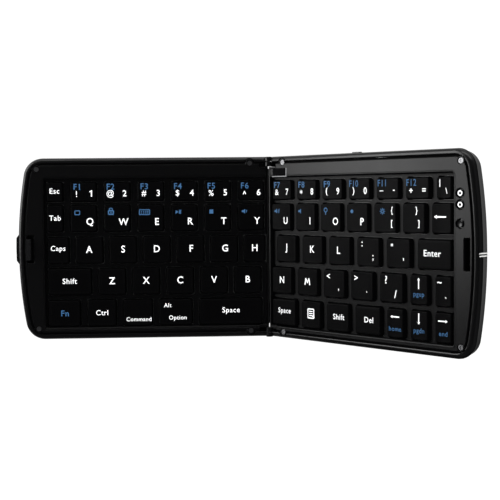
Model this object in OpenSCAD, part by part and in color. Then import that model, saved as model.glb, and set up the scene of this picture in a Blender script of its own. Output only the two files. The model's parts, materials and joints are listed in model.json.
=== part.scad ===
// Folding travel keyboard: two equal halves joined by a hinge along their inner edges.
// Each half is drawn in its own frame: u runs outwards from the hinge axis, v runs along
// the hinge towards the number row, and w runs up from the rim of the half's shell.
// The left half lies on the desk, and the right half is raised by the fold angle at rest.

/* [Halves] */
// Width of a half, from the hinge axis to the middle of its curved outer edge
half_w = 135; // [132:0.5:145]
// Depth of the keyboard, along the hinge
depth = 98; // [97:0.5:104]
// Thickness of a half, without its feet
half_t = 10; // [9.4:0.2:14]
// Radius of the curved outer edge, seen from above
end_r = 160; // [140:5:300]
// Corner radius, seen from above
corner_r = 10; // [8.5:0.5:12]
// Gap between the rims of the closed halves
rim_gap = 0.3; // [0.2:0.1:0.6]
// Angle of the right half above the desk at rest
fold_angle = 49; // [0:1:130]

/* [Shell] */
// Width of the shell's rim round the deck
rim_w = 2.9; // [2.6:0.1:3.4]
// Thickness of the shell's floor
floor_t = 1.2; // [1:0.1:1.6]
// Thickness of the shell's wall beside the hinge
hinge_wall = 0.7; // [0.6:0.1:0.8]
// Gap between the hinge axis and the wall beside it
hinge_gap = 0.2; // [0.15:0.05:0.3]
// Radius of the shell's lower edge
lower_r = 3; // [1:0.5:4]
// Radius of the rim's upper edge
upper_r = 1.4; // [0.5:0.1:1.8]
// Wall of a rib inside the shell
rib_t = 1.4; // [1:0.1:1.8]

/* [Deck] */
// Thickness of the deck plate
deck_t = 1.6; // [1.4:0.1:2]
// Drop of the deck below the rim
deck_drop = 0.1; // [0:0.05:0.3]
// Width of the groove between rim and deck
groove_w = 1; // [0.6:0.1:1.2]
// Depth of the groove between rim and deck
groove_h = 0.8; // [0.4:0.1:1]
// Distance from the key well to the keyboard's far edge, above the number row
well_far = 11.4; // [11.2:0.1:12]
// Distance from the key well to the keyboard's near edge
well_near = 6.5; // [6.3:0.1:7]
// Distance from the key well to the middle of the curved outer edge
well_side = 14.1; // [13.9:0.1:16]
// Chamfer of the key well's edge
well_chamfer = 0.7; // [0.3:0.1:0.9]

/* [Keys] */
// Width of a key top in the two upper rows
key_w = 13.7; // [12.5:0.1:14.2]
// Width of a key top in the home row and the row below
broad_key_w = 14.4; // [13:0.1:14.7]
// Depth of a key top in the number row
number_d = 9.9; // [9:0.1:10.4]
// Space between the key tops of two rows
row_space = 3.2; // [2.6:0.1:3.8]
// Space between the number row's key tops and the row below
number_space = 2.5; // [2.2:0.1:3]
// Distance of the number row's key tops from the key well's far edge
key_margin = 1.9; // [1.6:0.1:2.2]
// Distance of the last row's key tops from the key well's near edge
key_near = 0.6; // [0.5:0.1:1.2]
// Distance of the outermost key tops from the key well's edge
key_side = 1.3; // [0.9:0.1:1.6]
// Height of a key cap
key_h = 2.5; // [2.2:0.1:2.8]
// Drop of the key tops below the rim
key_drop = 0.5; // [0.3:0.1:0.7]
// Spread of a key's skirt on each side
key_flare = 0.45; // [0.2:0.05:0.6]
// Corner radius of a key
key_r = 1; // [0.7:0.1:2]
// Wall of a key cap
key_wall = 1; // [0.8:0.1:1.2]
// Depth of the dish in a key top
key_dish = 0.25; // [0.1:0.05:0.35]
// Chamfer round a key top
key_chamfer = 0.35; // [0.1:0.05:0.5]
// Travel of a key
key_travel = 1.6; // [1.2:0.1:1.7]
// Gap round a key's skirt in the lattice
key_gap = 0.3; // [0.2:0.05:0.4]

/* [Key bed] */
// Drop of the lattice between the keys below the rim
lattice_drop = 2.6; // [2.4:0.1:3]
// Thickness of the switch membrane
membrane_t = 0.3; // [0.2:0.1:0.4]
// Thickness of the steel bed plate
bed_t = 0.5; // [0.4:0.1:0.8]
// Length of a scissor link
link_l = 9; // [7:0.5:10]
// Thickness of a scissor link
link_t = 0.6; // [0.4:0.1:0.7]
// Width of a scissor link's bars
link_bar = 0.8; // [0.6:0.1:1]

/* [Hinge] */
// Radius of a hinge knuckle
knuckle_r = 1.9; // [1.6:0.1:2.2]
// Length of a hinge knuckle
knuckle_l = 2.5; // [2.2:0.1:2.8]
// Gap between neighbouring knuckles
knuckle_gap = 0.15; // [0.1:0.05:0.3]
// Radius of the hinge pins
pin_r = 0.8; // [0.6:0.05:0.9]
// Width of the hinge's corner post
post_w = 5; // [4.5:0.1:5.5]
// Width of the flat cable that crosses the hinge
flex_w = 3; // [2:0.5:3.5]

/* [Screws] */
// Radius of a screw head
screw_head_r = 1.3; // [1.1:0.1:1.5]
// Radius of a screw's shank
screw_r = 0.7; // [0.5:0.05:0.8]
// Distance of the screws from the shell's outer edge
screw_inset = 3.4; // [3.2:0.1:3.8]
// Distance of the inner screws from the hinge axis
screw_u = 10.1; // [9:0.1:12]
// Radius of the deck's ear round a screw
ear_r = 2.2; // [2:0.1:2.4]

/* [Latch] */
// Length of the latch slot along the hinge direction
slot_l = 15; // [12:0.5:17]
// Width of the latch slot
slot_w = 3.3; // [3.2:0.1:3.6]
// Distance of the latch slot from the middle of the outer edge
slot_side = 4.8; // [4.6:0.1:5]
// Length of the latch button
button_l = 17; // [15:0.5:18]
// Amount that the latch button stands out of the shell
button_proud = 1.7; // [1.1:0.1:1.8]
// Length of the ramp at each end of the latch button
button_ramp = 2.5; // [1.5:0.1:3]
// Travel of the latch button
latch_travel = 0.9; // [0.8:0.05:0.9]
// Thickness of the latch hook
hook_t = 1.3; // [1:0.1:1.4]

/* [Controls] */
// Diameter of the connect button and of the status windows
dot_d = 4.2; // [3.6:0.1:4.6]
// Distance of the connect button and status windows from the middle of the outer edge
dot_side = 10.2; // [10:0.1:10.5]
// Distance of the connect button from the far edge
connect_in = 34.9; // [34:0.1:37]
// Distances of the status windows from the far edge
window_in = [26.1, 20.8]; // [19:0.1:27]
// Travel of the connect button
connect_travel = 0.4; // [0.3:0.1:0.5]
// Place of the power switch, from the hinge axis
switch_u = 60.3; // [58:0.1:62]
// Travel of the power switch
switch_travel = 3; // [2:0.5:3.5]
// Place of the charge socket, from the hinge axis
socket_u = 75.5; // [74:0.1:80]
// Width of the charge socket
socket_w = 7.6; // [6:0.1:9]
// Height of the charge socket
socket_h = 3.4; // [2.6:0.1:3.6]

/* [Inside and feet] */
// Width of the battery
battery_w = 70; // [40:1:90]
// Depth of the battery
battery_d = 52; // [30:1:60]
// Thickness of the battery
battery_t = 2.7; // [2:0.1:2.8]
// Thickness of the circuit board
board_t = 0.8; // [0.6:0.1:1]
// Radius of a foot
foot_r = 4; // [3:0.5:5]
// Amount that a foot stands out of the shell
foot_h = 0.8; // [0.5:0.1:1.5]

/* [Hidden] */
fit = 0.15;
slice = 0.01;
cut = 1;
corner_steps = 8;
end_steps = 18;

// Outline of a half: a corner arc touches the straight edge and the curved outer edge
end_u = half_w - end_r;
corner_v = depth / 2 - corner_r;
corner_u = end_u + sqrt(pow(end_r - corner_r, 2) - pow(corner_v, 2));
end_a = atan2(corner_v, corner_u - end_u);
wall_u = hinge_gap + hinge_wall;

// Heights below the rim
floor_w = floor_t - half_t;
deck_w = -deck_drop;
deck_low = deck_w - deck_t;
key_top = -key_drop;
key_low = key_top - key_h;
cap_roof = key_top - key_wall;
bed_gap = 0.2;
bed_w = key_low - key_travel - bed_gap;
plate_w = bed_w - membrane_t;
plate_low = plate_w - bed_t;

// Key well and lattice
well_v1 = depth / 2 - well_far;
well_v0 = well_near - depth / 2;
well_u1 = half_w - well_side;
keys_u1 = well_u1 - key_side;
number_pitch = number_d + number_space;
key_d = (well_v1 - well_v0 - key_margin - key_near - number_pitch - 3 * row_space) / 4;
row_pitch = key_d + row_space;
bed_u0 = wall_u + 0.1;
bed_u1 = well_u1 + rib_t;
bed_v0 = well_v0 - rib_t;
bed_v1 = well_v1 + rib_t;
rib_least = 0.6;
rib_end_u = corner_u - 10;

// Rows from the number row to the near edge: first key's start, then [node, width] outwards,
// with the widths of the keys that aren't plain as shares of a plain key's width
number_row_keys = 6;
function wide(share) = share * key_w;
edge_key_w = wide(0.61);
function letters(names, w) = [for (c = names) [str("key_", c), w]];
function keys(name, widths) = [for (w = widths) [name, w]];
left_rows = [
  [wide(0.18), concat(keys("keys_left_numbers", [for (i = [1:number_row_keys]) key_w]),
                      keys("keys_left_numbers", [edge_key_w]))],
  [wide(0.2), concat(letters("ytrewq", key_w), keys("keys_left_edge", [edge_key_w]))],
  [wide(0.15), concat(letters("h", wide(0.82)), letters("gfdsa", broad_key_w),
                      keys("keys_left_edge", [wide(0.82)]))],
  [wide(0.32), concat(letters("bvcxz", broad_key_w), keys("keys_left_edge", [wide(1.69)]))],
  [wide(0.29), concat(keys("key_left_space", [wide(2.47)]),
                      keys("keys_left_edge", [for (s = [1.27, 1.11, 1.1, 1.23]) wide(s)]))]
];
right_rows = [
  [wide(0.18), concat(keys("keys_right_numbers", [for (i = [1:number_row_keys]) key_w]),
                      keys("keys_right_numbers", [edge_key_w]))],
  [wide(0.14), concat(letters("uiop", key_w), keys("keys_right_edge", [key_w, wide(0.96), wide(0.81)]))],
  [wide(0.38), concat(letters("jkl", broad_key_w), keys("keys_right_edge", [broad_key_w, broad_key_w]),
                      keys("keys_right_edge", [wide(1.42)]))],
  [wide(0.13), concat(letters("nm", broad_key_w), keys("keys_right_edge", [for (i = [1:3]) broad_key_w]),
                      keys("keys_right_edge", [wide(0.76), wide(0.67)]))],
  [wide(0.13), concat(keys("key_right_space", [wide(1.25)]),
                      keys("keys_right_edge", [for (s = [0.99, 1.1, 1.18, 0.72, 0.74, 0.67]) wide(s)]))]
];

function total(list, n) = n == 0 ? 0 : list[n - 1][1] + total(list, n - 1);
function row_gap(row) = (keys_u1 - row[0] - total(row[1], len(row[1]))) / (len(row[1]) - 1);
function key_u(row, i) = row[0] + total(row[1], i) + i * row_gap(row);
function row_v(r) = well_v1 - key_margin - (r == 0 ? 0 : number_pitch + (r - 1) * row_pitch);
function row_d(r) = r == 0 ? number_d : key_d;

// Every key of a half as [node, middle u, middle v, width, depth]
function key_list(rows) = [
  for (r = [0:len(rows) - 1]) for (i = [0:len(rows[r][1]) - 1])
    [rows[r][1][i][0], key_u(rows[r], i) + rows[r][1][i][1] / 2, row_v(r) - row_d(r) / 2,
     rows[r][1][i][1], row_d(r)]
];
left_keys = key_list(left_rows);
right_keys = key_list(right_rows);
dished_up_to = 16;
dish_land = 0.3;

// Stop lip: a rib of the left shell that reaches under the right one when the halves lie flat
lip_out = 1.2;
lip_in = 2.5;
lip_h = 0.4;
lip_gap = 0.1;

// Hinge: on each end, the right half's knuckle is the outer one
knuckle_out = depth / 2 - 0.1;
right_knuckle_v = knuckle_out - knuckle_l;
left_knuckle_v = right_knuckle_v - knuckle_gap - knuckle_l;
post_v = left_knuckle_v - knuckle_gap - 0.8;
notch_r = knuckle_r + 0.35;
axis_w = rim_gap / 2;
pin_fit = 0.03;
pin_stop = 0.5;
pin_l = 2 * knuckle_l + knuckle_gap - pin_stop - pin_fit;
flex_t = 0.2;
flex_w0 = deck_low - 0.5;
flex_v = post_v - 0.6 - flex_w / 2;
flex_in = 3.5;
bracket_u = [3.1, 12.9];
bracket_t = 0.4;
bracket_v = [well_v1 + 0.3, post_v - 0.3];

// Screws: two beside the hinge, and two in the outer corners
corner_screw_a = 38;
screw_inner = [screw_u, depth / 2 - screw_inset];
screw_outer = [corner_u + (corner_r - screw_inset) * cos(corner_screw_a),
               corner_v + (corner_r - screw_inset) * sin(corner_screw_a)];
screw_sunk = 0.3;
screw_head_t = 0.8;
drive_l = 1.6;
drive_w = 0.35;
drive_h = 0.4;
screw_l = 5.5;
boss_r = 2.1;

// Latch: the hook stands in the left half and enters the right half's slot
slot_u1 = half_w - slot_side;
slot_u0 = slot_u1 - slot_w;
hook_u = slot_u0 + fit + latch_travel;
hook_l = slot_l - 3.6;
lip_t = 1;
barb_w = rim_gap - deck_w + lip_t + 0.15;
barb_h = 0.9;
barb_u = slot_u1 + latch_travel - 0.15;
recess_u = [slot_u0 - 0.1, slot_u1 + 0.3];
slider_t = 0.9;
slider_w = -5.6;
slider_u0 = slot_u0 - 1.2;
button_h = 5;
button_w0 = -7.6;
button_u = half_w - 4.2;
lug_t = 1.2;
lug_l = 5;
rail_t = 1.4;
rail_u1 = button_u - latch_travel - 2 * fit;

// Controls
dot_u = half_w - dot_side;
flange_t = 0.5;
flange_r = dot_d / 2 + 0.3;
stem_r = 0.9;
pipe_r = dot_d / 3;
switch_w0 = -6;
switch_h = 2.2;
knob_l = 4.6;
knob_proud = 0.5;
slider_l = 12;
slide_t = 1.2;
slide_lip = 0.6;
socket_l = 7.4;
socket_t = 0.3;
socket_r = 0.7;
socket_back = 1;
socket_sunk = 0.4;

// Inside
board_low = floor_w + 1;
board_top = board_low + board_t;
socket_w0 = board_top;
board_arm = 8;
board_u0 = switch_u - 12;
board_u1 = bed_u1 + 0.4;
board_v0 = bed_v1 + 0.6;
board_v1 = depth / 2 - rim_w - fit;
tact_h = 2.2;
led_h = 0.7;
battery_u = half_w * 0.42;
foot_sunk = 0.4;
foot_taper = 0.4;
feet = [[9, depth / 2 - 9.5], [half_w - 17, depth / 2 - 13]];
board_pass_v = feet[1][1] - 6;
connect_v = depth / 2 - connect_in;
window_v = [for (far = window_in) depth / 2 - far];
stands = [[board_u0 + 3, board_v0 + 3], [socket_u + 14, board_v0 + 3], [board_u1 + 4, connect_v - 2]];
stand_r = 1.6;
spring_r = 1.1;
spring_wire = 0.35;
spring_turns = 4;
spring_w = slider_w - spring_r - spring_wire;

// Place of the hinge axis that centres the keyboard over the origin at rest
edge_a = [0:15:90];
shell_edge = concat(
  [for (a = edge_a) [lower_r * (1 - sin(a)), lower_r * (1 - cos(a)) - half_t]],
  [for (a = edge_a) [upper_r * (1 - cos(a)), upper_r * (sin(a) - 1)]]
);
right_reach = max([for (e = shell_edge)
  (half_w - e[0]) * cos(fold_angle) - (e[1] - axis_w) * sin(fold_angle)]);
hinge_x = (half_w + button_proud - right_reach) / 2;
hinge_z = foot_h + half_t + axis_w;

letter_names = "qwertyuiopasdfghjklzxcvbnm";
KEY_NODES = concat([for (c = letter_names) str("key_", c)],
  ["key_left_space", "key_right_space", "keys_left_numbers", "keys_right_numbers",
   "keys_left_edge", "keys_right_edge"]);

black = "#26282b";
dark = "#1b1c1e";
grey = "#34373a";
steel = "#9a9ea3";

// Frames of the two halves in the keyboard's own frame
module on_left() {
  translate([hinge_x, 0, hinge_z - axis_w]) mirror([1, 0, 0]) children();
}

module on_right() {
  translate([hinge_x, 0, hinge_z]) rotate([0, -fold_angle, 0]) translate([0, 0, -axis_w]) children();
}

module both_ends() {
  children();
  mirror([0, 1, 0]) children();
}

// Points on an arc from angle a0 to angle a1, without its first point if asked
function arc(cu, cv, r, a0, a1, steps, from = 0) =
  [for (i = [from:steps]) let (a = a0 + (a1 - a0) * i / steps) [cu + r * cos(a), cv + r * sin(a)]];

function half_outline(inset, u0) = concat(
  [[u0, inset - depth / 2]],
  arc(corner_u, -corner_v, corner_r - inset, -90, -end_a, corner_steps),
  arc(end_u, 0, end_r - inset, -end_a, end_a, end_steps, 1),
  arc(corner_u, corner_v, corner_r - inset, end_a, 90, corner_steps, 1),
  [[u0, depth / 2 - inset]]
);

module slab(inset, u0, w0, w1) {
  translate([0, 0, w0]) linear_extrude(w1 - w0) polygon(half_outline(inset, u0));
}

module block(u0, u1, v0, v1, w0, w1) {
  translate([u0, v0, w0]) cube([u1 - u0, v1 - v0, w1 - w0]);
}

// A post along w, or a rod along v
module post(u, v, r, w0, w1) {
  translate([u, v, w0]) cylinder(r = r, h = w1 - w0, $fn = 48);
}

module rod(u, w, r, v0, v1) {
  translate([u, v0, w]) rotate([-90, 0, 0]) cylinder(r = r, h = v1 - v0, $fn = 48);
}

module rounded(l, d, r) {
  square([l - 2 * r, d], center = true);
  square([l, d - 2 * r], center = true);
  for (x = [-1, 1], y = [-1, 1]) translate([x * (l / 2 - r), y * (d / 2 - r)]) circle(r, $fn = 32);
}

module screw_places() {
  both_ends() for (p = [screw_inner, screw_outer]) translate(p) children();
}

// ---- Shell: the tray that carries everything else of a half ----

// The outside is a stack of outlines, drawn in by the rounding of the lower and upper edges
module shell_skin() {
  n = len(half_outline(0, 0));
  top = (len(shell_edge) - 1) * n;
  points = [for (e = shell_edge) for (p = half_outline(e[0], hinge_gap)) [p[0], p[1], e[1]]];
  difference() {
    polyhedron(points, concat(
      [[for (i = [0:n - 1]) i]],
      [for (r = [0:len(shell_edge) - 2], i = [0:n - 1])
        [r * n + i, (r + 1) * n + i, (r + 1) * n + (i + 1) % n, r * n + (i + 1) % n]],
      [[for (i = [n - 1:-1:0]) top + i]]));
    slab(rim_w, wall_u, floor_w, cut);
  }
}

// Corner post beside the hinge and the ribs that the bed plate rests on
module shell_ribs() {
  both_ends() block(hinge_gap, post_w, post_v, depth / 2 - upper_r, floor_w - slice, 0);
  block(bed_u1 - rib_t, bed_u1, bed_v0, board_pass_v, floor_w - slice, plate_low);
  block(wall_u - slice, rib_end_u, bed_v1 - rib_t, bed_v1, floor_w - slice, plate_low);
  block(wall_u - slice, bed_u1, bed_v0, bed_v0 + rib_t, floor_w - slice, plate_low);
}

module shell() {
  difference() {
    union() {
      shell_skin();
      shell_ribs();
      screw_places() post(0, 0, boss_r, floor_w - slice, deck_low);
    }
    screw_places() {
      post(0, 0, ear_r + fit, deck_low, cut);
      post(0, 0, screw_r + pin_fit, deck_w - screw_sunk - screw_l - fit, 0);
    }
    both_ends() for (f = feet) post(f[0], f[1], foot_r + fit, -half_t - cut, foot_sunk - half_t);
    block(-cut, wall_u + cut, flex_v - flex_w / 2 - fit, flex_v + flex_w / 2 + fit,
          flex_w0 - flex_t - 3 * fit, flex_w0 + 2 * fit);
  }
}

// A shell with its own knuckles, and notches round the other half's
module hinged_shell(own_v, other_v, bore_r, bore_l) {
  difference() {
    union() {
      shell();
      both_ends() rod(0, axis_w, knuckle_r, own_v, own_v + knuckle_l);
    }
    both_ends() {
      rod(0, axis_w, notch_r, other_v - knuckle_gap, other_v + knuckle_l + knuckle_gap);
      rod(0, axis_w, bore_r, own_v - cut, own_v + bore_l);
    }
  }
}

module left_shell() {
  color(black) on_left() {
    block(-lip_out, lip_in, -post_v, post_v, -half_t - lip_h, -half_t - lip_gap);
    block(hinge_gap, lip_in, -post_v, post_v, -half_t - lip_gap - slice, slice - half_t);
    both_ends() block(slider_u0, rail_u1, hook_l / 2 - rail_t, hook_l / 2, floor_w - slice, slider_w - fit);
    difference() {
      hinged_shell(left_knuckle_v, right_knuckle_v, pin_r + pin_fit, knuckle_l + cut);
      block(button_u, half_w + cut, -button_l / 2 - fit, button_l / 2 + fit,
            button_w0 - fit, button_w0 + button_h + fit);
    }
  }
}

module right_shell() {
  color(black) on_right() {
    for (p = stands) post(p[0], p[1], stand_r, floor_w - slice, board_low);
    difference() {
      hinged_shell(right_knuckle_v, left_knuckle_v, pin_r + 2 * pin_fit, knuckle_l - pin_stop);
      block(switch_u - (knob_l + switch_travel) / 2 - fit, switch_u + (knob_l + switch_travel) / 2 + fit,
            depth / 2 - rim_w - cut, depth / 2 + cut, switch_w0 - fit, switch_w0 + switch_h + fit);
      translate([socket_u, depth / 2 - rim_w - cut, socket_w0 + socket_h / 2]) rotate([-90, 0, 0])
        linear_extrude(rim_w + 2 * cut) rounded(socket_w + 2 * fit, socket_h + 2 * fit, socket_r + fit);
    }
  }
}

// ---- Deck: the plate round the key well ----

module well_cut() {
  block(-cut, well_u1, well_v0, well_v1, -half_t, cut);
  c = well_chamfer;
  translate([0, 0, deck_w - c]) rotate([90, 0, 90]) linear_extrude(well_u1)
    polygon([[well_v0 - c - cut, c + cut], [well_v0, 0], [well_v1, 0], [well_v1 + c + cut, c + cut]]);
  translate([0, well_v1, deck_w - c]) rotate([90, 0, 0]) linear_extrude(well_v1 - well_v0)
    polygon([[0, 0], [well_u1, 0], [well_u1 + c + cut, c + cut], [0, c + cut]]);
}

module deck() {
  difference() {
    union() {
      slab(rim_w + groove_w, wall_u + fit, deck_low, deck_w);
      slab(rim_w + fit, wall_u + fit, deck_low, deck_w - groove_h);
      screw_places() post(0, 0, ear_r, deck_low, deck_w);
    }
    well_cut();
    both_ends() block(-cut, post_w + fit, post_v - fit, depth, -half_t, cut);
    screw_places() {
      post(0, 0, screw_head_r + fit, deck_w - screw_sunk - screw_head_t, cut);
      post(0, 0, screw_r + fit, -half_t, cut);
    }
  }
}

module left_deck() {
  color(grey) on_left() difference() {
    deck();
    block(recess_u[0], recess_u[1], -slot_l / 2, slot_l / 2, -half_t, cut);
  }
}

module right_deck() {
  color(grey) on_right() difference() {
    deck();
    block(slot_u0, slot_u1, -slot_l / 2, slot_l / 2, -half_t, cut);
    block(slot_u0 - 1, half_w - rim_w - groove_w - slice, -slot_l / 2 - 1, slot_l / 2 + 1,
          -half_t, deck_w - lip_t);
    for (v = concat([connect_v], window_v)) post(dot_u, v, dot_d / 2 + fit, -half_t, cut);
    block(bracket_u[0] - fit, bracket_u[1] + fit, bracket_v[0] - fit, bracket_v[1] + fit,
          deck_w - bracket_t, cut);
  }
}

// ---- Key bed ----

// A rib beside the hinge that would be too thin is left out
function hole_u0(k) = k[1] - k[3] / 2 - key_flare - key_gap;
module key_hole(k) {
  open = hole_u0(k) < bed_u0 + rib_least;
  l = k[3] + 2 * (key_flare + key_gap);
  d = k[4] + 2 * (key_flare + key_gap);
  translate([k[1], k[2], bed_w - cut]) linear_extrude(half_t) rounded(l, d, key_r + key_gap);
  if (open) block(bed_u0 - cut, k[1], k[2] - d / 2, k[2] + d / 2, bed_w - cut, cut);
}

// Outline of the key bed, clear of the corner posts and the screw bosses
module bed_layer(w0, w1) {
  translate([0, 0, w0]) linear_extrude(w1 - w0) difference() {
    translate([bed_u0, bed_v0]) square([bed_u1 - bed_u0, bed_v1 - bed_v0]);
    both_ends() translate([0, post_v - fit]) square([post_w + fit, depth]);
    screw_places() circle(boss_r + fit, $fn = 48);
  }
}

module lattice(list) {
  difference() {
    bed_layer(bed_w, deck_low);
    block(-cut, well_u1, well_v0, well_v1, -lattice_drop, cut);
    for (k = list) key_hole(k);
  }
}

module left_lattice() { color(grey) on_left() lattice(left_keys); }
module right_lattice() { color(grey) on_right() lattice(right_keys); }

module left_membrane() { color("#5d6b62") on_left() bed_layer(plate_w, bed_w); }
module right_membrane() { color("#5d6b62") on_right() bed_layer(plate_w, bed_w); }
module left_bed_plate() { color(steel) on_left() bed_layer(plate_low, plate_w); }
module right_bed_plate() { color(steel) on_right() bed_layer(plate_low, plate_w); }

// ---- Under each key: a rubber dome inside two crossed scissor links ----

dome_taper = 0.62;
dome_neck = 0.5;
dome_shoulder = 0.7;

function cap_l(k) = k[3] - 2 * key_wall;
function cap_d(k) = k[4] - 2 * key_wall;
function link_length(k) = min(link_l, cap_l(k) - 0.6);
function outer_link_d(k) = min(10.6, cap_d(k) - 0.8);
function inner_link_d(k) = outer_link_d(k) - 2 * link_bar - 0.2;
function dome_r(k) = min(inner_link_d(k) / 2 - link_bar - 0.3, link_length(k) / 2 - link_bar - 0.6);

module dome(k) {
  translate([k[1], k[2], bed_w]) {
    cylinder(r1 = dome_r(k), r2 = dome_r(k) * dome_taper, h = (cap_roof - bed_w) * dome_shoulder, $fn = 32);
    cylinder(r = dome_r(k) * dome_neck, h = cap_roof - bed_w, $fn = 32);
  }
}

module link(l, d, tilt) {
  rotate([0, tilt, 0]) difference() {
    cube([l, d, link_t], center = true);
    cube([l - 2 * link_bar, d - 2 * link_bar, cut], center = true);
  }
}

module scissor(k) {
  rise = cap_roof - bed_w - link_t - 0.5;
  tilt = asin(rise / link_length(k));
  translate([k[1], k[2], (cap_roof + bed_w) / 2]) {
    link(link_length(k), outer_link_d(k), tilt);
    link(link_length(k), inner_link_d(k), -tilt);
  }
}

module left_domes() { color("#c9c6bd") on_left() for (k = left_keys) dome(k); }
module right_domes() { color("#c9c6bd") on_right() for (k = right_keys) dome(k); }
module left_scissors() { color("white") on_left() for (k = left_keys) scissor(k); }
module right_scissors() { color("white") on_right() for (k = right_keys) scissor(k); }

// ---- Key caps ----

// Side view of a cap: skirt, straight flank and chamfer up to a top of width l
module cap_side(l) {
  c = key_chamfer;
  polygon([[-l / 2 - key_flare, -key_h], [l / 2 + key_flare, -key_h], [l / 2, -c],
           [l / 2 - c, 0], [c - l / 2, 0], [-l / 2, -c]]);
}

module key_cap(l, d) {
  span = [l + 2 * key_flare, d + 2 * key_flare];
  dish_r = pow(l - 2 * (key_chamfer + dish_land), 2) / (8 * key_dish);
  difference() {
    intersection() {
      rotate([90, 0, 0]) linear_extrude(span[1], center = true) cap_side(l);
      rotate([90, 0, 90]) linear_extrude(span[0], center = true) cap_side(d);
      translate([0, 0, -key_h]) linear_extrude(key_h) rounded(span[0], span[1], key_r);
    }
    if (l < dished_up_to)
      translate([0, 0, dish_r - key_dish]) rotate([90, 0, 0])
        cylinder(r = dish_r, h = span[1] + cut, center = true, $fn = 180);
    translate([0, 0, -key_h - cut]) linear_extrude(key_h + cut - key_wall)
      rounded(l - 2 * key_wall, d - 2 * key_wall, key_r / 2);
  }
}

module key(list, name) {
  for (k = list) if (k[0] == name) translate([k[1], k[2], key_top]) key_cap(k[3], k[4]);
}

module key_node(name) {
  color(dark) {
    on_left() key(left_keys, name);
    on_right() key(right_keys, name);
  }
}

// ---- Screws and feet ----

module screws() {
  screw_places() difference() {
    union() {
      post(0, 0, screw_head_r, deck_w - screw_sunk - screw_head_t, deck_w - screw_sunk);
      post(0, 0, screw_r, deck_w - screw_sunk - screw_l, deck_w - screw_sunk);
    }
    for (a = [0, 90]) rotate(a)
      translate([0, 0, deck_w - screw_sunk]) cube([drive_l, drive_w, 2 * drive_h], center = true);
  }
}

module left_screws() { color(steel) on_left() screws(); }
module right_screws() { color(steel) on_right() screws(); }

module foot_pads() {
  both_ends() for (f = feet) {
    post(f[0], f[1], foot_r, slice - half_t, foot_sunk - half_t);
    translate([f[0], f[1], -half_t - foot_h])
      cylinder(r1 = foot_r - foot_taper, r2 = foot_r, h = foot_h + slice, $fn = 48);
  }
}

module left_feet() { color("#3a3a3a") on_left() foot_pads(); }
module right_feet() { color("#3a3a3a") on_right() foot_pads(); }

// ---- Latch ----

module latch() {
  l = button_l / 2;
  color(black) on_left() {
    // Hook: an upright wall with a barb along its outer face
    rotate([90, 0, 0]) linear_extrude(hook_l, center = true)
      polygon([[hook_u, slider_w], [hook_u + hook_t, slider_w], [hook_u + hook_t, barb_w],
               [barb_u, barb_w], [barb_u, barb_w + 0.2], [hook_u + hook_t / 2, barb_w + barb_h],
               [hook_u, barb_w + barb_h]]);
    block(slider_u0, button_u + lug_t, -hook_l / 2, hook_l / 2, slider_w, slider_w + slider_t);
    block(slider_u0, slider_u0 + lug_t, -lug_l / 2, lug_l / 2,
          spring_w - spring_r - spring_wire, slider_w + slice);
    // Button: its face follows the curved outer edge of the shell
    intersection() {
      slab(-button_proud, 0, button_w0, button_w0 + button_h);
      translate([0, 0, button_w0]) linear_extrude(button_h)
        polygon([[button_u, -l], [half_w - fit, -l], [half_w + button_proud, button_ramp - l],
                 [half_w + button_proud, l - button_ramp], [half_w - fit, l], [button_u, l]]);
    }
  }
}

// Points of a ring of the spring's wire at angle a along the coil, which runs along u
function coil_centre(a, l) = [l * a / (360 * spring_turns), spring_r * cos(a), spring_r * sin(a)];
function coil_ring(a, l) = [for (t = [0:60:300])
  coil_centre(a, l) + spring_wire / 2 * [sin(t), cos(t) * cos(a), cos(t) * sin(a)]];

module latch_spring() {
  step = 30;
  turns = [0:step:360 * spring_turns];
  rings = len([for (a = turns) a]);
  l = slider_u0 - bed_u1 - spring_wire - 2 * fit;
  sides = 6;
  points = [for (a = turns) each coil_ring(a, l)];
  color(steel) on_left() translate([bed_u1 + spring_wire / 2 + fit, 0, spring_w])
    polyhedron(points, concat(
      [[for (s = [0:sides - 1]) s]],
      [for (r = [0:rings - 2], s = [0:sides - 1])
        [r * sides + s, (r + 1) * sides + s, (r + 1) * sides + (s + 1) % sides, r * sides + (s + 1) % sides]],
      [[for (s = [sides - 1:-1:0]) (rings - 1) * sides + s]]));
}

// ---- Battery, circuit board and controls ----

module battery() {
  color("#b8bcc0") on_left()
    translate([battery_u, 0, floor_w]) linear_extrude(battery_t) rounded(battery_w, battery_d, 2);
}

// An L round the bed plate, with the switch and lamp bodies that the controls reach down to
module circuit_board() {
  color("#2f5d46") on_right() {
    difference() {
      intersection() {
        slab(rim_w + fit, 0, board_low, board_top);
        union() {
          block(board_u0, half_w, board_v0, depth, -half_t, 0);
          block(rib_end_u + stand_r, half_w, board_pass_v + stand_r, depth, -half_t, 0);
          block(board_u1, board_u1 + board_arm, connect_v - board_arm / 2, depth, -half_t, 0);
        }
      }
      post(screw_outer[0], screw_outer[1], boss_r + fit, -half_t, 0);
    }
    post(dot_u, connect_v, 2 * stem_r, board_top - slice, board_top + tact_h);
    for (v = window_v) post(dot_u, v, stem_r, board_top - slice, board_top + led_h);
    block(switch_u - slider_l / 2, switch_u + slider_l / 2, board_v0 + 2 * fit, board_v1 - slide_t - 2 * fit,
          board_top - slice, switch_w0 + switch_h);
  }
}

module power_switch() {
  u = switch_u - switch_travel / 2;
  color(dark) on_right() {
    block(u - knob_l / 2, u + knob_l / 2, board_v1 - slice, depth / 2 + knob_proud,
          switch_w0, switch_w0 + switch_h);
    block(u - slider_l / 2, u + slider_l / 2, board_v1 - slide_t, board_v1,
          switch_w0 - slide_lip, switch_w0 + switch_h + slide_lip);
  }
}

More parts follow.
